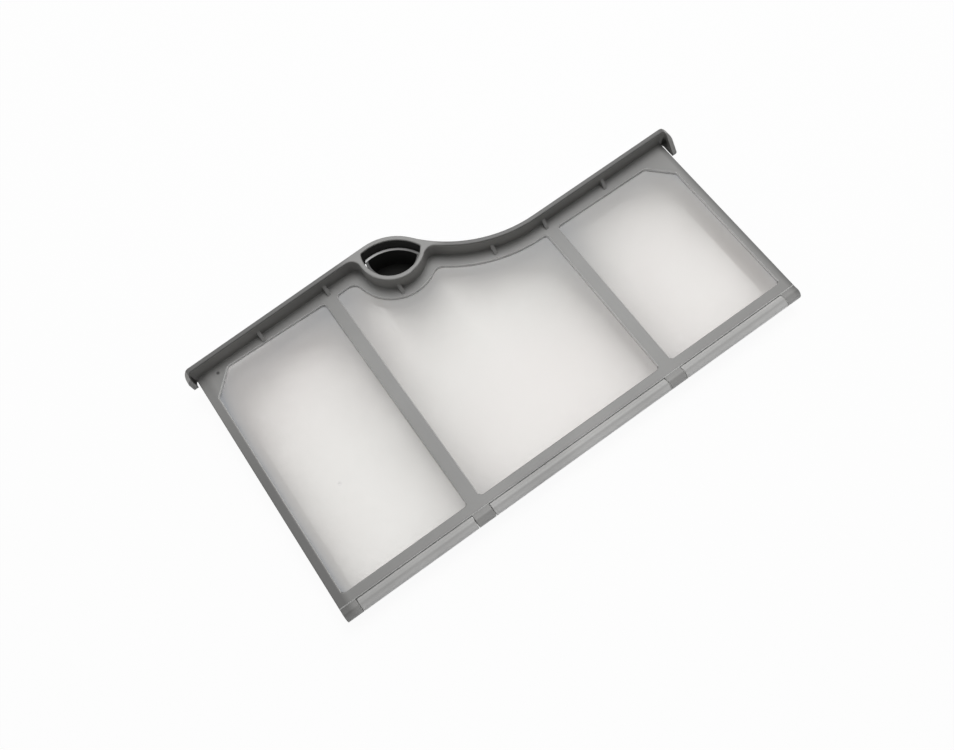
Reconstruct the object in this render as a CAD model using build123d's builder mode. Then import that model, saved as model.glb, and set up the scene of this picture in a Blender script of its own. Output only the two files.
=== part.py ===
"""Clamshell lint filter of a tumble dryer, lying on its back.

X runs across the filter, Y from the hinge edge to the flange, Z up out of the front face.
The origin is under the middle of the part, on the rear face that it lies on.
"""

import os
from math import cos, radians, sin

from build123d import *

# Overall sizes, in millimetres and degrees
frame_width = 260.0
overall_height = 143.6
body_depth = 13.5
front_plate = 1.5
rear_plate = 2.4
wall_thickness = 2.0
parting_gap = 0.3
edge_break = 0.4

# Wavy top edge, along the middle of the flange
hump_x = -26.5
hump_radius = 25.0
left_rise = 2.3
dip_radius = 70.0
right_height = 107.7
right_rise = 0.9

# Flange along the top edge, turned down at both ends
flange_thickness = 2.4
flange_reach = 10.0
rim_round = 0.6
lip_gap = 1.0
left_lip = 4.5
right_lip = 10.5
lip_shoulder = 0.5
lip_corner = 2.3
rim_corner = 5.0

# Rails, bars and windows
side_rail = 4.5
rear_side_rail = 8.0
rear_drop = 3.5
bottom_rail = 5.0
top_rail = 7.2
bar_offset = 55.1
bar_width = 7.0
window_corner = 2.0
corner_cut = 11.5

# Finger grip: a lens-shaped loop in the front leaf, and a cup in the rear leaf that stands inside it
grip_shift_x = 9.0
grip_shift_y = 17.4
grip_radius = 16.0
grip_wall = 2.4
grip_rail = 5.2
grip_blend = 5.0
lens_corner = 1.2
cup_clearance = 1.0
cup_wall = 1.3
cup_rise = 3.6

# Ribs between the flange and the top rail
left_ribs = (-93.0, -54.3)
grip_rib = -24.0
dip_rib = 25.0
right_ribs = (53.8, 91.0)
rib_thickness = 1.8
rib_rise = 5.4
rib_run = 4.2

# Hinge along the bottom edge
barrel_radius = 3.5
barrel_sink = 0.2
barrel_gap = 0.4
rail_reach = 2.6
wall_setback = 0.7
ledge_drop = 3.6
corner_knuckle = 8.0
bar_knuckle = 9.0
axial_gap = 0.4
pin_radius = 1.2
pin_length = 3.2
pin_clearance = 0.05

# Filter mesh, bonded to the inner face of each leaf
mesh_thickness = 0.4
mesh_border = 2.0
mesh_gap = 0.3

# Places worked out from the sizes above
half_width = frame_width / 2
hinge_edge = -overall_height / 2
axis_y = hinge_edge + barrel_radius
rail_edge = axis_y + rail_reach
wall_edge = axis_y + barrel_radius + wall_setback
window_bottom = rail_edge + bottom_rail
front_face = body_depth
front_inner = body_depth - front_plate
parting = body_depth / 2
front_lip = parting + parting_gap / 2
rear_lip = parting - parting_gap / 2
flange_rim = front_face + flange_reach
axis_z = front_face - barrel_sink - barrel_radius
lip_inner = half_width + lip_gap
lip_outer = lip_inner + flange_thickness
lip_middle = (lip_inner + lip_outer) / 2
half_flange = flange_thickness / 2
grip_outer = grip_radius + grip_wall / 2


def along(angle):
    """Unit vector in the plane of the leaf, turned from X by an angle."""
    return Vector(cos(radians(angle)), sin(radians(angle)))


def across(angle):
    """Unit vector square to along(angle), on its upper side."""
    return Vector(-sin(radians(angle)), cos(radians(angle)))


# Centres of the top edge's two bends: their arcs touch each other, and the dip's arc the straight right stretch
hump_centre = Vector(hump_x, -hinge_edge - half_flange - hump_radius)
right_anchor = Vector(half_width, hinge_edge + right_height)
bend_distance = hump_radius + dip_radius
bend_rise = (right_anchor - hump_centre).dot(across(right_rise)) + dip_radius
bend_run = (bend_distance**2 - bend_rise**2) ** 0.5
dip_centre = hump_centre + across(right_rise) * bend_rise + along(right_rise) * bend_run
to_dip = (dip_centre - hump_centre).normalized()
grip_centre = hump_centre + Vector(grip_shift_x, grip_shift_y)


def left_crest(x):
    """Height of the straight left stretch of the top edge."""
    joint = hump_centre + across(left_rise) * hump_radius
    return (joint + along(left_rise) * ((x - joint.X) / cos(radians(left_rise)))).Y


def right_crest(x):
    """Height of the straight right stretch of the top edge."""
    return (right_anchor + along(right_rise) * ((x - right_anchor.X) / cos(radians(right_rise)))).Y


right_lip_end = right_crest(lip_middle) - right_lip


def below_circle(centre, radius, x):
    """Height of the lower side of a circle at x."""
    return centre.Y - (radius**2 - (x - centre.X) ** 2) ** 0.5


def crest_region(inset, half, bottom):
    """Face below the wavy top edge, inset from the middle of the flange."""
    hump = hump_radius - inset
    dip = dip_radius + inset
    left_joint = hump_centre + across(left_rise) * hump
    middle_joint = hump_centre + to_dip * hump
    right_joint = dip_centre - across(right_rise) * dip
    left_end = left_joint - along(left_rise) * ((left_joint.X + half) / cos(radians(left_rise)))
    right_end = right_joint + along(right_rise) * ((half - right_joint.X) / cos(radians(right_rise)))
    with BuildSketch() as region:
        with BuildLine():
            Line(left_end, left_joint)
            TangentArc(left_joint, middle_joint, tangent=along(left_rise))
            TangentArc(middle_joint, right_joint, tangent=to_dip.rotate(Axis.Z, -90))
            Line(right_joint, right_end)
            Polyline(right_end, (half, bottom), (-half, bottom), left_end)
        make_face()
    return region.sketch


def side_window(outer_x, inner_x, top):
    """Window between a side rail and a bar, with its upper outer corner cut off."""
    with BuildSketch() as window:
        with Locations(((outer_x + inner_x) / 2, (window_bottom + top) / 2)):
            Rectangle(abs(outer_x - inner_x), top - window_bottom)
        chamfer(window.vertices().sort_by_distance((outer_x, top))[0], corner_cut)
        fillet(window.vertices(), window_corner)
    return window.sketch


def on_grip_circle(sketch, radius):
    """Corners of a sketch that lie on a circle round the finger grip."""
    return sketch.vertices().filter_by(lambda v: abs((Vector(v) - grip_centre).length - radius) < 0.001)


def middle_window():
    """Window between the bars, under the dip and round the finger grip."""
    with BuildSketch() as window:
        add(crest_region(top_rail, half_width, window_bottom))
        Rectangle(2 * bar_offset - bar_width, overall_height, mode=Mode.INTERSECT)
        columns = window.vertices().group_by(Axis.X)
        fillet(columns[0] + columns[-1], window_corner)
        with Locations(grip_centre):
            Circle(grip_outer + grip_rail, mode=Mode.SUBTRACT)
        fillet(on_grip_circle(window, grip_outer + grip_rail), grip_blend)
    return window.sketch


def windows(rail, drop):
    """The three windows of a leaf, with the width of its side rails and the drop of the side windows' tops."""
    outer_x = half_width - rail
    inner_x = bar_offset + bar_width / 2
    with BuildSketch() as openings:
        add(middle_window())
        add(side_window(-outer_x, -inner_x, left_crest(-bar_offset) - top_rail - drop))
        add(side_window(outer_x, inner_x, right_crest(bar_offset) - top_rail - drop))
    return openings.sketch


def tray_walls():
    """Walls along the sides and the hinge edge, open towards the flange."""
    with BuildSketch() as walls:
        add(crest_region(0, half_width, wall_edge))
        with Locations((0, wall_edge + wall_thickness)):
            Rectangle(
                frame_width - 2 * wall_thickness,
                overall_height,
                align=(Align.CENTER, Align.MIN),
                mode=Mode.SUBTRACT,
            )
    return walls.sketch


def lens(inset):
    """Lens shape of the finger grip, inset from the inside of its loop."""
    with BuildSketch() as shape:
        with Locations(hump_centre):
            Circle(hump_radius - half_flange - inset)
        with Locations(grip_centre):
            Circle(grip_radius - grip_wall / 2 - inset, mode=Mode.INTERSECT)
        fillet(shape.vertices(), lens_corner)
    return shape.sketch


def capped_region(inset, half, corner):
    """Face below the top edge with rounded top corners."""
    with BuildSketch() as cap:
        add(crest_region(inset, half, hinge_edge))
        columns = cap.vertices().group_by(Axis.X)
        fillet([column.sort_by(Axis.Y)[-1] for column in (columns[0], columns[-1])], corner)
    return cap.sketch


def flange_outline():
    """Flange seen along Z: the wavy strip with its end lips, and the loop of the finger grip."""
    with BuildSketch() as outline:
        add(capped_region(-half_flange, lip_outer, lip_corner + flange_thickness))
        add(capped_region(half_flange, lip_inner, lip_corner), mode=Mode.SUBTRACT)
        for x, end in ((-lip_middle, left_crest(-lip_middle) - left_lip), (lip_middle, right_lip_end)):
            with Locations((x, end)):
                Rectangle(
                    2 * flange_thickness,
                    overall_height,
                    align=(Align.CENTER, Align.MAX),
                    mode=Mode.SUBTRACT,
                )
    with BuildSketch() as loop:
        with Locations(grip_centre):
            Circle(grip_outer)
        add(crest_region(0, half_width, hinge_edge), mode=Mode.INTERSECT)
        add(outline.sketch)
        add(lens(0), mode=Mode.SUBTRACT)
        fillet(on_grip_circle(loop, grip_outer), grip_blend)
    return loop.sketch


def mesh_outline():
    """Sheet that covers the three windows, inside the walls and clear of the finger grip."""
    half = half_width - wall_thickness - mesh_gap
    with BuildSketch() as outline:
        add(crest_region(mesh_border, half, wall_edge + wall_thickness + mesh_gap))
        with Locations(grip_centre):
            Circle(grip_outer, mode=Mode.SUBTRACT)
    return outline.sketch


# Front knuckles sit at the corners and the bars, and the rear barrels fill the runs between them
front_spans = (
    (-half_width, corner_knuckle - half_width),
    (-bar_offset - bar_knuckle / 2, -bar_offset + bar_knuckle / 2),
    (bar_offset - bar_knuckle / 2, bar_offset + bar_knuckle / 2),
    (half_width - corner_knuckle, half_width),
)
rear_spans = [
    (left[1] + axial_gap, right[0] - axial_gap) for left, right in zip(front_spans, front_spans[1:])
]
web_length = wall_edge + wall_thickness - axis_y
web_height = front_face - edge_break - front_lip
ledge_start = axis_y - barrel_radius / 2
ledge_length = wall_edge + wall_thickness - ledge_start

# Front leaf: plate with windows, tray walls, flange with the finger loop, ribs and hinge knuckles
with BuildPart() as front_frame:
    with BuildSketch(Plane.XY.offset(front_inner)):
        add(crest_region(0, half_width, rail_edge))
        add(windows(side_rail, 0), mode=Mode.SUBTRACT)
    extrude(amount=front_plate)
    chamfer(front_frame.faces().sort_by(Axis.Z)[-1].edges(), edge_break)
    with BuildSketch(Plane.XY.offset(front_lip)):
        add(tray_walls())
    extrude(amount=front_inner - front_lip)
    with BuildSketch(Plane.YZ.offset(-half_width)):
        with Locations((axis_y, axis_z)):
            Circle(barrel_radius + barrel_gap)
    extrude(amount=frame_width, mode=Mode.SUBTRACT)
    with BuildSketch(Plane.XY.offset(front_inner)):
        add(lens(0))
    extrude(amount=front_plate, mode=Mode.SUBTRACT)
    with BuildSketch(Plane.XY.offset(front_inner)):
        add(flange_outline())
    extrude(amount=flange_rim - front_inner)
    fillet(front_frame.faces().sort_by(Axis.Z)[-1].edges(), rim_round)
    with BuildSketch(Plane.XZ):
        with Locations((0, flange_rim)):
            Rectangle(2 * lip_outer, 2 * rim_corner, align=(Align.CENTER, Align.MAX))
        with Locations((0, flange_rim)):
            RectangleRounded(
                2 * lip_outer,
                4 * rim_corner,
                rim_corner,
                align=(Align.CENTER, Align.MAX),
                mode=Mode.SUBTRACT,
            )
    extrude(amount=overall_height, both=True, mode=Mode.SUBTRACT)
    with BuildSketch(Plane.YZ.offset(half_width)):
        with BuildLine():
            Polyline(
                (right_lip_end + right_lip - half_flange - lip_shoulder, flange_rim),
                (right_lip_end, front_face),
                (right_lip_end, flange_rim),
                close=True,
            )
        make_face()
    extrude(amount=lip_outer - half_width, mode=Mode.SUBTRACT)
    rib_roots = [(x, left_crest(x)) for x in left_ribs]
    rib_roots.append((grip_rib, below_circle(grip_centre, grip_radius, grip_rib)))
    rib_roots.append((dip_rib, below_circle(dip_centre, dip_radius, dip_rib)))
    rib_roots.extend((x, right_crest(x)) for x in right_ribs)
    for rib_x, root in rib_roots:
        toe = root - half_flange - rib_run
        with BuildSketch(Plane.YZ.offset(rib_x)):
            with BuildLine():
                Polyline(
                    (root, front_inner),
                    (root, front_face + rib_rise),
                    (toe, front_face),
                    (toe, front_inner),
                    close=True,
                )
            make_face()
        extrude(amount=rib_thickness / 2, both=True)
    for start, end in front_spans:
        with BuildSketch(Plane.YZ.offset(start)):
            with Locations((axis_y, axis_z)):
                Circle(barrel_radius)
            with Locations((axis_y, front_lip)):
                Rectangle(web_length, web_height, align=(Align.MIN, Align.MIN))
        extrude(amount=end - start)
    for start, end in rear_spans:
        reach = axial_gap + pin_length
        with BuildSketch(Plane.YZ.offset(start - reach)):
            with Locations((axis_y, axis_z)):
                Circle(pin_radius + pin_clearance)
        extrude(amount=end - start + 2 * reach, mode=Mode.SUBTRACT)

# Rear leaf: plate with windows, tray walls, cup of the finger grip and hinge barrels with stub pins
with BuildPart() as rear_frame:
    with BuildSketch():
        add(crest_region(0, half_width, wall_edge))
        add(windows(rear_side_rail, rear_drop), mode=Mode.SUBTRACT)
    extrude(amount=rear_plate)
    chamfer(rear_frame.faces().sort_by(Axis.Z)[0].edges(), edge_break)
    with BuildSketch(Plane.XY.offset(rear_plate)):
        add(tray_walls())
    extrude(amount=rear_lip - rear_plate)
    with BuildSketch(Plane.XY.offset(rear_plate)):
        add(lens(cup_clearance))
        add(lens(cup_clearance + cup_wall), mode=Mode.SUBTRACT)
    extrude(amount=front_face + cup_rise - rear_plate)
    for start, end in rear_spans:
        with BuildSketch(Plane.YZ.offset(start)):
            with Locations((axis_y, axis_z)):
                Circle(barrel_radius)
            with Locations((ledge_start, rear_lip)):
                Rectangle(ledge_length, ledge_drop, align=(Align.MIN, Align.MAX))
        extrude(amount=end - start)
        with BuildSketch(Plane.YZ.offset(start - pin_length)):
            with Locations((axis_y, axis_z)):
                Circle(pin_radius)
        extrude(amount=end - start + 2 * pin_length)

# Filter mesh of each leaf
with BuildPart() as front_mesh:
    with BuildSketch(Plane.XY.offset(front_inner - mesh_thickness)):
        add(mesh_outline())
    extrude(amount=mesh_thickness)

with BuildPart() as rear_mesh:
    with BuildSketch(Plane.XY.offset(rear_plate)):
        add(mesh_outline())
    extrude(amount=mesh_thickness)

front_frame.part.label = "front_frame"
rear_frame.part.label = "rear_frame"
front_mesh.part.label = "front_mesh"
rear_mesh.part.label = "rear_mesh"

os.makedirs("parts", exist_ok=True)
export_step(front_frame.part, "parts/front_frame.step")
export_step(rear_frame.part, "parts/rear_frame.step")
export_step(front_mesh.part, "parts/front_mesh.step")
export_step(rear_mesh.part, "parts/rear_mesh.step")
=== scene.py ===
from math import exp, pi

import bpy
from mathutils import Matrix, Vector, noise


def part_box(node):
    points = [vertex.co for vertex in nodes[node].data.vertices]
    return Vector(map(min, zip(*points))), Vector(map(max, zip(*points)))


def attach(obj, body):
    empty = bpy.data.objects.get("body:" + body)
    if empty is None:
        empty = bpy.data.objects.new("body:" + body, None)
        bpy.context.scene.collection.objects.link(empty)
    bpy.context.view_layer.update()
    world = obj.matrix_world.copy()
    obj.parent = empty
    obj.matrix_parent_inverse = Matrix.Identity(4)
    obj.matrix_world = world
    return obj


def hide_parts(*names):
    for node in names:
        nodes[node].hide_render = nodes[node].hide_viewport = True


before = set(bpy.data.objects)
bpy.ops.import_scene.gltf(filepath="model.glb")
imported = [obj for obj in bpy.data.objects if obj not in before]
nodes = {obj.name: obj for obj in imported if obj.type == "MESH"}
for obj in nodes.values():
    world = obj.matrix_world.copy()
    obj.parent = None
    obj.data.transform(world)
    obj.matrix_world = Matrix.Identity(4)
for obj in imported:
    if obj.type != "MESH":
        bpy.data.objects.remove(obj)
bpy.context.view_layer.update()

# Camera, in metres: where it stands, what it looks at and which way is up in the picture
camera_place = Vector((-0.07706, -0.12825, 0.38102))
camera_target = Vector((-0.01952, -0.01282, 0.0135))
camera_up = Vector((0.5595, 0.76168, 0.32681))
camera_lens = 31.075
camera_near = 0.01

# Light: a soft lamp overhead, and a sky that is brighter behind the flange than in front of the hinge
white = (1.0, 1.0, 1.0, 1.0)
sky_front = 0.08
sky_back = 0.66
sky_turn = 0.5
backdrop_white = 0.965
key_place = Vector((0.22, 0.3, 1.1))
key_size = 0.6
key_power = 8.0

# Pale floor just under the rear face
floor_grey = (0.86, 0.86, 0.86, 1.0)
floor_white = 0.94
floor_half = 4.0
floor_drop = 0.0002

# Noise: the range that most of it lies in, and how far it thins or thickens a layer
noise_range = (0.3, 0.7)
patch_range = (0.8, 1.2)
cloud_detail = 4.0
spot_core = 0.4

# Plastic of the two leaves, as linear colours, with a cloudy tone and a fine grain
front_grey = (0.232, 0.23, 0.224)
rear_grey = (0.36, 0.358, 0.351)
tone_scale = 24.0
tone_spread = 0.1
grain_scale = 2600.0
grain_detail = 3.0
grain_depth = 0.00006
grain_strength = 0.5
plastic_roughness = (0.36, 0.5)
plastic_specular = 0.5

# Paler edges: partly wear, partly a painted highlight
edge_radius = 0.0005
edge_samples = 6
edge_turn = (0.995, 0.86)
edge_wear_and_highlight = 0.25
edge_tint = 1.9

# Small round moulding mark on each leaf
front_mark = Vector((-0.1197, 0.062, 0.0135))
rear_mark = Vector((0.1197, 0.0305, 0.0))
mark_radius = 0.0011
mark_tint = 0.2

# Painted shade on the side rails, heavier towards the hinge on the left one
rail_top = 0.0136
left_rail = (-0.1235, -0.1265)
left_rail_shade = (0.35, 0.8)
left_rail_shade_y = (0.04, 0.0)
right_rail = (0.1268, 0.1295)
right_rail_shade = 0.75
rail_shade_tint = 0.35

# Painted shade on the inner sides of the flange's end lips: the middle and the reach of each
left_lip = (Vector((-0.131, 0.0655, 0.0165)), 0.007)
right_lip = (Vector((0.131, 0.0335, 0.0155)), 0.005)
lip_facing = -0.09

# Painted light on the shaded walls of the front windows
painted_light_pale = (0.92, 0.92, 0.91, 1.0)
wall_painted_light = 0.85
wall_side = 0.1258
wall_low = 0.0119
wall_high = 0.01348
wall_tilt = (0.6, 0.8)
wall_facing = 0.3

# Painted light on the rear leaf's shaded inner face
face_painted_light = 0.75
face_top = 0.003
face_facing = 0.5

# Painted light in the hinge: along the front plate's edge, in the gaps, and on knuckles and barrels
hinge_line = -0.0648
cove_painted_light = 0.7
cove_start = -0.0664
cove_end = -0.064
cove_facing = -0.3
gap_painted_light = 0.9
gap_end = 0.1285
gap_facing = 0.5
knuckle_painted_light = 0.35
barrel_painted_light = 0.85
outer_facing = (-0.2, -0.95)
back_painted_light = 0.5
back_facing = (0.3, 0.8)

# Painted shade inside the finger grip: the circles of its loop and of its cup, and the heights up to which
# the shade is painted
hump_centre = Vector((-0.0265, 0.0456, 0.0))
grip_centre = Vector((-0.0175, 0.063, 0.0))
loop_radii = (0.0239, 0.0149)
loop_shade_top = 0.0226
cup_radii = (0.0216, 0.0126)
cup_shade_top = 0.0165
grip_floor = 0.001
painted_shade_dark = (0.012, 0.012, 0.011, 1.0)
grip_roughness = 0.9

# Rim of the flange, with painted shade away from the grip, and rim of the cup, with a painted highlight on
# its far side and painted shade elsewhere
flange_rim = 0.0229
flange_rim_shade = 0.45
flange_shade_fade = (0.02, 0.028)
cup_rim_shade = (0.05, 0.05, 0.049, 1.0)
cup_rim_highlight = (0.95, 0.95, 0.94, 1.0)
cup_highlight_fade_x = (-0.03, -0.008)
cup_highlight_fade = (1.0, 0.25)

# Filter cloth: white, with a faint blush and a fine weave, and its cover when clean and where shade is
# painted
cloth_white = (0.955, 0.93, 0.89)
cloth_blush = (0.955, 0.91, 0.875)
blush_scale = 9.0
blush_range = (0.4, 0.65)
thread_pitch = 0.0006
thread_depth = 0.00008
thread_strength = 0.35
hollow_shade = 0.9
cloth_roughness = 0.8
cloth_specular = 0.25
cloth_sheen = 0.15
front_cover = (0.34, 0.65)
rear_cover = (0.4, 0.95)

# Sheets of cloth: how finely they are divided, their height within the CAD sheet and their ripples
cloth_columns = 128
cloth_rows = 66
cloth_inset = 0.0005
front_seat = 0.85
rear_seat = 0.15
ripple_height = 0.00005
ripple_scale = 38.0

# Painted shade on the cloth, thickest along the bars and rails, under the flange and above the hinge
front_shade_and_smudge_grey = (0.355, 0.365, 0.38, 1.0)
rear_shade_and_smudge_grey = (0.5, 0.51, 0.525, 1.0)
shade_patch_scale = 30.0
top_shade = 0.5
top_band = 0.01
top_reach = 0.015
hinge_shade = 0.15
hinge_reach = 0.004
window_bottom = -0.0607
bar_edges = (-0.0586, -0.0516, 0.0516, 0.0586)
bar_reach = 0.012
front_bar_shade = 0.35
rear_bar_shade = 0.6
side_edge = 0.1255
side_reach = 0.004
left_side_shade = 0.9
right_side_shade = 0.6
front_sides = [(x, front_bar_shade, bar_reach) for x in bar_edges]
front_sides.append((-side_edge, left_side_shade, side_reach))
front_sides.append((side_edge, right_side_shade, side_reach))
rear_sides = [(x, rear_bar_shade, bar_reach) for x in (-side_edge, *bar_edges, side_edge)]

# Small ragged smudge on each cloth
front_smudge = Vector((-0.1005, -0.018, 0.01194))
rear_smudge = Vector((0.02, 0.01, 0.00246))
smudge_radius = 0.0013
smudge_scale = 1500.0
smudge_range = (0.4, 0.6)
smudge_cover = 0.7


class Tree:
    """Node tree of one material or world."""

    def __init__(self, owner):
        owner.use_nodes = True
        self.tree = owner.node_tree
        self.tree.nodes.clear()

    def add(self, kind, inputs=None, **settings):
        """Adds a node. Its inputs go by name or number: a socket is linked, and a value is set."""
        made = self.tree.nodes.new("ShaderNode" + kind)
        for name, value in settings.items():
            setattr(made, name, value)
        for name, value in (inputs or {}).items():
            if isinstance(value, bpy.types.NodeSocket):
                self.tree.links.new(value, made.inputs[name])
            else:
                made.inputs[name].default_value = value
        return made

    def math(self, operation, first, second=0.0):
        """Result of a sum on one or two numbers or sockets."""
        return self.add("Math", {0: first, 1: second}, operation=operation).outputs[0]

    def stretch(self, value, low, high, new_low, new_high):
        """A value's range moved to another range."""
        return self.add(
            "MapRange",
            {"Value": value, "From Min": low, "From Max": high, "To Min": new_low, "To Max": new_high},
        ).outputs["Result"]

    def mix(self, share, first, second):
        """Colour between two colours."""
        return self.add("Mix", {0: share, 6: first, 7: second}, data_type="RGBA").outputs[2]

    def noise(self, place, scale, detail=2.0):
        """Even noise from 0 to 1."""
        return self.add("TexNoise", {"Vector": place, "Scale": scale, "Detail": detail}).outputs[0]

    def split(self, vector):
        """The three numbers of a vector."""
        return self.add("SeparateXYZ", {"Vector": vector}).outputs

    def distance(self, place, centre):
        """Distance from a point."""
        return self.add("VectorMath", {0: place, 1: centre}, operation="DISTANCE").outputs["Value"]

    def all_of(self, *limits):
        """Product of several limits, 1 where all of them hold."""
        product = 1.0
        for limit in limits:
            product = self.math("MULTIPLY", limit, product)
        return product

    def most_of(self, first, *others):
        """Largest of several shares."""
        largest = first
        for share in others:
            largest = self.math("MAXIMUM", largest, share)
        return largest

    def spot(self, place, centre, radius):
        """1 at a point, fading to 0 round it."""
        return self.stretch(self.distance(place, centre), spot_core * radius, radius, 1.0, 0.0)


def tinted(colour, share):
    """A colour made lighter or darker, as four numbers."""
    return (*(channel * share for channel in colour), 1.0)


def add_object(name, data):
    """New object in the scene."""
    made = bpy.data.objects.new(name, data)
    bpy.context.scene.collection.objects.link(made)
    return made


def own_facing(tree, true_normal):
    """Which way a surface faces along its leaf's own axes, open or closed."""
    own_normal = tree.add(
        "VectorTransform",
        {"Vector": true_normal},
        vector_type="NORMAL",
        convert_from="WORLD",
        convert_to="OBJECT",
    )
    return tree.split(own_normal.outputs[0])


def inside_grip(tree, flat, height, radii, top):
    """1 on the inside of the finger grip, below its rim, where shade is painted."""
    return tree.all_of(
        tree.math("LESS_THAN", tree.distance(flat, hump_centre), radii[0]),
        tree.math("LESS_THAN", tree.distance(flat, grip_centre), radii[1]),
        tree.math("LESS_THAN", height, top),
        tree.math("GREATER_THAN", height, grip_floor),
    )


def shaded_lips(tree, place, axes, facing):
    """1 on the inner sides of the flange's end lips, where shade is painted, fading away from the middle of
    each.
    """
    shade = tree.math("ADD", tree.spot(place, *left_lip), tree.spot(place, *right_lip))
    inward = tree.math("LESS_THAN", tree.math("MULTIPLY", axes[0], facing[0]), lip_facing)
    return tree.math("MULTIPLY", shade, inward)


def painted_rail_shade(tree, axes):
    """Share of painted shade on the side rails."""
    left = tree.math(
        "MULTIPLY",
        tree.stretch(axes[0], *left_rail, 0.0, 1.0),
        tree.stretch(axes[1], *left_rail_shade_y, *left_rail_shade),
    )
    right = tree.stretch(axes[0], *right_rail, 0.0, right_rail_shade)
    below_flange = tree.math("LESS_THAN", axes[2], rail_top)
    return tree.math("MULTIPLY", tree.math("ADD", left, right), below_flange)


def shaded_flange_rim_colour(tree, flat):
    """Colour of the flange's rim, with painted shade away from the finger grip."""
    away = tree.stretch(tree.distance(flat, grip_centre), *flange_shade_fade, 0.0, 1.0)
    return tree.mix(away, tinted(front_grey, 1.0), tinted(front_grey, flange_rim_shade))


def cup_rim_light_and_shade(tree, flat):
    """Colour of the cup's rim: a painted highlight on its far side, fading to the right, and painted shade
    elsewhere.
    """
    # Painted highlight on the far side of the rim, painted shade on the rest
    far_side = tree.math("GREATER_THAN", tree.distance(flat, hump_centre), cup_radii[0])
    fading = tree.stretch(tree.split(flat)[0], *cup_highlight_fade_x, *cup_highlight_fade)
    return tree.mix(tree.math("MULTIPLY", far_side, fading), cup_rim_shade, cup_rim_highlight)


def painted_light_in_hinge(tree, axes, facing, outer_painted_light):
    """Share of painted light on the end faces and the outer sides of knuckles or barrels."""
    ends = tree.all_of(
        tree.math("GREATER_THAN", tree.math("ABSOLUTE", facing[0]), gap_facing),
        tree.math("LESS_THAN", tree.math("ABSOLUTE", axes[0]), gap_end),
        gap_painted_light,
    )
    outer = tree.stretch(facing[1], *outer_facing, 0.0, outer_painted_light)
    past_plate = tree.math("LESS_THAN", axes[1], hinge_line)
    return tree.math("MULTIPLY", tree.most_of(ends, outer), past_plate)


def painted_light_on_walls(tree, axes, facing):
    """Share of painted light on the front leaf: window walls, the plate's edge along the hinge, and
    knuckles.
    """
    walls = tree.all_of(
        tree.stretch(tree.math("ABSOLUTE", facing[2]), *wall_tilt, 1.0, 0.0),
        tree.math("LESS_THAN", facing[1], wall_facing),
        tree.math("LESS_THAN", tree.math("ABSOLUTE", axes[0]), wall_side),
        tree.math("GREATER_THAN", axes[1], cove_end),
        tree.math("GREATER_THAN", axes[2], wall_low),
        tree.math("LESS_THAN", axes[2], wall_high),
        wall_painted_light,
    )
    cove = tree.all_of(
        tree.math("LESS_THAN", axes[1], cove_end),
        tree.math("GREATER_THAN", axes[1], cove_start),
        tree.math("LESS_THAN", facing[1], cove_facing),
        cove_painted_light,
    )
    return tree.most_of(walls, cove, painted_light_in_hinge(tree, axes, facing, knuckle_painted_light))


def painted_light_on_face(tree, axes, facing):
    """Share of painted light on the rear leaf: its inner face and its barrels."""
    face = tree.all_of(
        tree.math("GREATER_THAN", facing[2], face_facing),
        tree.math("LESS_THAN", axes[2], face_top),
        face_painted_light,
    )
    back = tree.all_of(
        tree.math("LESS_THAN", axes[1], hinge_line),
        tree.stretch(facing[1], *back_facing, 0.0, back_painted_light),
    )
    return tree.most_of(face, back, painted_light_in_hinge(tree, axes, facing, barrel_painted_light))


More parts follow.
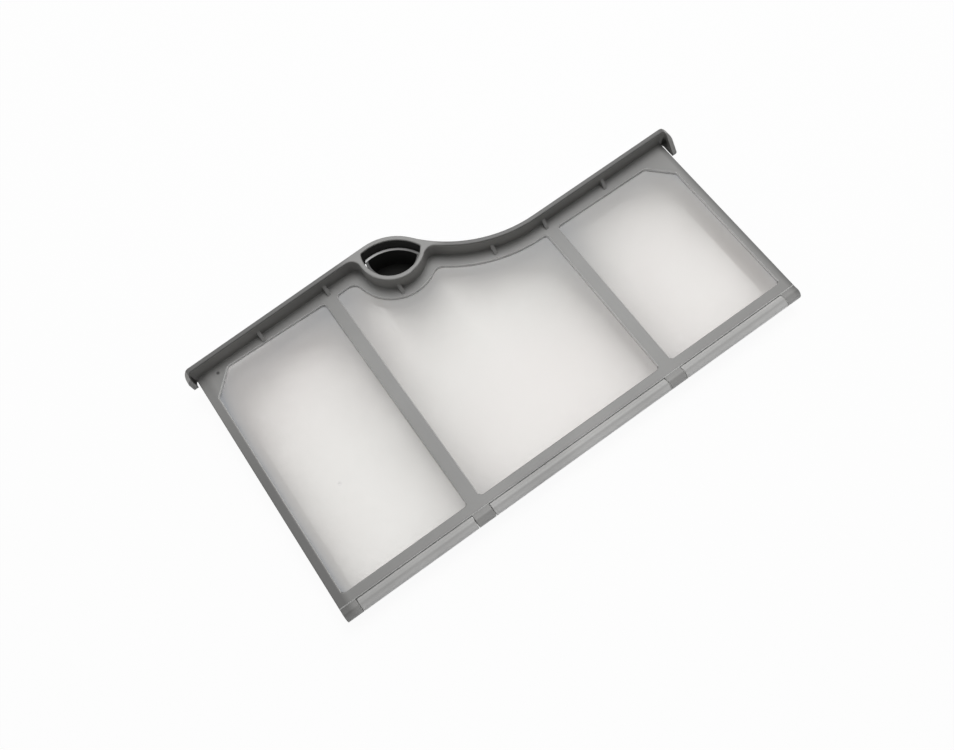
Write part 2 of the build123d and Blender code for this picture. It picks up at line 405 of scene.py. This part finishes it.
def plastic(name, grey, grip_radii, grip_top, rim_start, rim_colour, mark, painted_light):
    """Grey moulded plastic: grain, tone, paler edges that are partly wear and partly a painted highlight,
    painted shade on the side rails, painted light on shaded faces, painted shade inside the lips, mark,
    painted light and shade on the rim, and painted shade inside the grip.
    """
    material = bpy.data.materials.new(name)
    tree = Tree(material)
    place = tree.add("TexCoord").outputs["Object"]
    flat = tree.add("VectorMath", {0: place, 1: (1.0, 1.0, 0.0)}, operation="MULTIPLY").outputs[0]
    axes = tree.split(place)
    true_normal = tree.add("NewGeometry").outputs["True Normal"]
    facing = own_facing(tree, true_normal)
    soft_edge = tree.add("Bevel", {"Radius": edge_radius}, samples=edge_samples).outputs[0]
    turned = tree.add("VectorMath", {0: soft_edge, 1: true_normal}, operation="DOT_PRODUCT").outputs["Value"]
    # Paler edges: partly wear, partly a painted highlight where the edges catch the light
    edge = tree.stretch(turned, *edge_turn, 0.0, edge_wear_and_highlight)
    grain = tree.noise(place, grain_scale, grain_detail)
    cloud = tree.noise(place, tone_scale, cloud_detail)
    tone = tree.stretch(cloud, *noise_range, 0.0, 1.0)
    patches = tree.stretch(cloud, *noise_range, *patch_range)
    base = tree.mix(tone, tinted(grey, 1.0 - tone_spread), tinted(grey, 1.0 + tone_spread))
    # Painted shade on the side rails
    rail_shaded = tree.mix(painted_rail_shade(tree, axes), base, tinted(grey, rail_shade_tint))
    worn_and_highlit = tree.mix(edge, rail_shaded, tinted(grey, edge_tint))
    # Painted light on faces that lie in shade
    lightened = tree.mix(tree.math("MULTIPLY", painted_light(tree, axes, facing), patches), worn_and_highlit, painted_light_pale)
    # Painted shade inside the end lips
    lip_shaded = tree.mix(shaded_lips(tree, place, axes, facing), lightened, painted_shade_dark)
    marked = tree.mix(tree.spot(place, mark, mark_radius), lip_shaded, tinted(grey, mark_tint))
    # Rims: painted shade on the flange's rim, a painted highlight and painted shade on the cup's rim
    rim = tree.math("GREATER_THAN", axes[2], rim_start)
    rimmed = tree.mix(rim, marked, rim_colour(tree, flat))
    # Painted shade inside the finger grip
    inside = inside_grip(tree, flat, axes[2], grip_radii, grip_top)
    grip_shaded = tree.mix(inside, rimmed, painted_shade_dark)
    roughness = tree.math(
        "MAXIMUM",
        tree.stretch(grain, *noise_range, *plastic_roughness),
        tree.math("MULTIPLY", inside, grip_roughness),
    )
    bump = tree.add(
        "Bump",
        {"Height": grain, "Strength": grain_strength, "Distance": grain_depth, "Normal": soft_edge},
    )
    shader = tree.add(
        "BsdfPrincipled",
        {
            "Base Color": grip_shaded,
            "Roughness": roughness,
            "Specular IOR Level": plastic_specular,
            "Normal": bump.outputs[0],
        },
    )
    tree.add("OutputMaterial", {"Surface": shader.outputs[0]})
    return material


def cloth(name, smudge, covers, shade_and_smudge_grey):
    """White woven filter cloth that shows what lies behind it, with painted shade and a smudge."""
    material = bpy.data.materials.new(name)
    tree = Tree(material)
    place = tree.add("TexCoord").outputs["Object"]
    axes = tree.split(place)
    turn = 2 * pi / thread_pitch
    warp = tree.math("SINE", tree.math("MULTIPLY", axes[0], turn))
    weft = tree.math("SINE", tree.math("MULTIPLY", axes[1], turn))
    weave = tree.stretch(tree.math("MAXIMUM", warp, weft), -1.0, 1.0, 0.0, 1.0)
    patches = tree.stretch(tree.noise(place, shade_patch_scale, cloud_detail), *noise_range, *patch_range)
    cloth_shade = tree.math("MULTIPLY", tree.add("Attribute", attribute_name="cloth_shade").outputs["Fac"], patches)
    clean_cover, shade_cover = covers
    cover = tree.math("ADD", tree.math("MULTIPLY", cloth_shade, shade_cover), clean_cover)
    blush = tree.stretch(tree.noise(place, blush_scale), *blush_range, 0.0, 1.0)
    thread = tree.mix(blush, tinted(cloth_white, 1.0), tinted(cloth_blush, 1.0))
    # Painted shade in the hollows of the weave
    hollow = tree.mix(blush, tinted(cloth_white, hollow_shade), tinted(cloth_blush, hollow_shade))
    # Painted grey shade along the frame, also used as the smudge's colour
    shaded = tree.mix(cloth_shade, tree.mix(weave, hollow, thread), shade_and_smudge_grey)
    ragged = tree.stretch(tree.noise(place, smudge_scale), *smudge_range, 0.0, smudge_cover)
    speck = tree.math("MULTIPLY", tree.spot(place, smudge, smudge_radius), ragged)
    smudged = tree.mix(speck, shaded, shade_and_smudge_grey)
    bump = tree.add("Bump", {"Height": weave, "Strength": thread_strength, "Distance": thread_depth})
    shader = tree.add(
        "BsdfPrincipled",
        {
            "Base Color": smudged,
            "Roughness": cloth_roughness,
            "Specular IOR Level": cloth_specular,
            "Sheen Weight": cloth_sheen,
            "Alpha": tree.math("MINIMUM", cover, 1.0),
            "Normal": bump.outputs[0],
        },
    )
    tree.add("OutputMaterial", {"Surface": shader.outputs[0]})
    return material


def cloth_shade_share(x, y, top, sides):
    """Share of painted shade at a point of the cloth, from the sides of the windows, the flange and the
    hinge.
    """
    return (
        max(share * exp(-abs(x - side) / reach) for side, share, reach in sides)
        + top_shade * exp(-max(top - y - top_band, 0.0) / top_reach)
        + hinge_shade * exp(-abs(y - window_bottom) / hinge_reach)
    )


def stretched_cloth(node_name, body, material, sides, seat):
    """Sheet of filter cloth in the place of its CAD node, with faint ripples and painted shade along the
    frame.
    """
    node = nodes[node_name]
    low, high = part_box(node_name)
    middle = (low + high) / 2
    level = low.z + (high.z - low.z) * seat
    points = []
    cloth_shade = []
    for column in range(cloth_columns + 1):
        across = cloth_inset + (1 - 2 * cloth_inset) * column / cloth_columns
        x = low.x + (high.x - low.x) * across
        _, top, _, _ = node.ray_cast(Vector((x, middle.y, middle.z)), Vector((0, 1, 0)))
        for row in range(cloth_rows + 1):
            y = low.y + (top.y - low.y) * row / cloth_rows
            wave = noise.noise(Vector((x, y, low.z)) * ripple_scale)
            points.append((x, y, level + ripple_height * wave))
            cloth_shade.append(cloth_shade_share(x, y, top.y, sides))
    stride = cloth_rows + 1
    faces = [
        (start, start + stride, start + stride + 1, start + 1)
        for column in range(cloth_columns)
        for start in range(column * stride, column * stride + cloth_rows)
    ]
    mesh = bpy.data.meshes.new(node_name + "_cloth")
    mesh.from_pydata(points, [], faces)
    mesh.attributes.new("cloth_shade", "FLOAT", "POINT").data.foreach_set("value", cloth_shade)
    mesh.shade_smooth()
    mesh.materials.append(material)
    piece = add_object(node_name + "_cloth", mesh)
    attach(piece, body)
    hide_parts(node_name)


def dress(node_name, material):
    """Gives a CAD node its material."""
    mesh = nodes[node_name].data
    mesh.materials.clear()
    mesh.materials.append(material)


def seen_directly(tree):
    """1 for what the camera sees, straight or in a reflection, and 0 for light on the object."""
    path = tree.add("LightPath").outputs
    seen = tree.math("ADD", path["Is Camera Ray"], path["Is Glossy Ray"])
    return tree.math("MINIMUM", tree.math("ADD", seen, path["Is Transmission Ray"]), 1.0)


def make_floor():
    """Pale floor that keeps a light shadow."""
    corners = [(-1, -1), (1, -1), (1, 1), (-1, 1)]
    points = [(x * floor_half, y * floor_half, -floor_drop) for x, y in corners]
    mesh = bpy.data.meshes.new("floor")
    mesh.from_pydata(points, [], [(0, 1, 2, 3)])
    material = bpy.data.materials.new("floor")
    tree = Tree(material)
    matte = tree.add("BsdfDiffuse", {"Color": floor_grey})
    glow = tree.add("Emission", {"Color": white, "Strength": 1.0})
    share = tree.math("MULTIPLY", seen_directly(tree), floor_white)
    mixed = tree.add("MixShader", {0: share, 1: matte.outputs[0], 2: glow.outputs[0]})
    tree.add("OutputMaterial", {"Surface": mixed.outputs[0]})
    mesh.materials.append(material)
    add_object("floor", mesh)


def make_light():
    """Soft graded sky and one large lamp overhead."""
    world = bpy.data.worlds.new("studio")
    bpy.context.scene.world = world
    tree = Tree(world)
    facing = tree.split(tree.add("TexCoord").outputs["Generated"])
    graded = tree.stretch(facing[1], -sky_turn, sky_turn, sky_front, sky_back)
    strength = tree.stretch(seen_directly(tree), 0.0, 1.0, graded, backdrop_white)
    sky = tree.add("Background", {"Color": white, "Strength": strength})
    tree.add("OutputWorld", {"Surface": sky.outputs[0]})
    lamp = bpy.data.lights.new("key", "AREA")
    lamp.size = key_size
    lamp.energy = key_power
    key = add_object("key", lamp)
    key.location = key_place
    key.rotation_euler = (-key_place).to_track_quat("-Z", "Y").to_euler()


def make_camera():
    """Camera of the main view."""
    view = (camera_target - camera_place).normalized()
    right = view.cross(camera_up).normalized()
    up = right.cross(view)
    placed = Matrix((right, up, -view)).transposed().to_4x4()
    placed.translation = camera_place
    data = bpy.data.cameras.new("camera")
    data.lens = camera_lens
    data.clip_start = camera_near
    camera = add_object("camera", data)
    camera.matrix_world = placed
    bpy.context.scene.camera = camera


front_plastic = plastic(
    "front_plastic",
    grey=front_grey,
    grip_radii=loop_radii,
    grip_top=loop_shade_top,
    rim_start=flange_rim,
    rim_colour=shaded_flange_rim_colour,
    mark=front_mark,
    painted_light=painted_light_on_walls,
)
rear_plastic = plastic(
    "rear_plastic",
    grey=rear_grey,
    grip_radii=cup_radii,
    grip_top=cup_shade_top,
    rim_start=cup_shade_top,
    rim_colour=cup_rim_light_and_shade,
    mark=rear_mark,
    painted_light=painted_light_on_face,
)
front_cloth = cloth("front_cloth", front_smudge, front_cover, front_shade_and_smudge_grey)
rear_cloth = cloth("rear_cloth", rear_smudge, rear_cover, rear_shade_and_smudge_grey)
dress("front_frame", front_plastic)
dress("rear_frame", rear_plastic)
stretched_cloth("front_mesh", "front_leaf", front_cloth, front_sides, front_seat)
stretched_cloth("rear_mesh", "rear_leaf", rear_cloth, rear_sides, rear_seat)
make_floor()
make_light()
make_camera()
bpy.context.scene.view_settings.view_transform = "Standard"
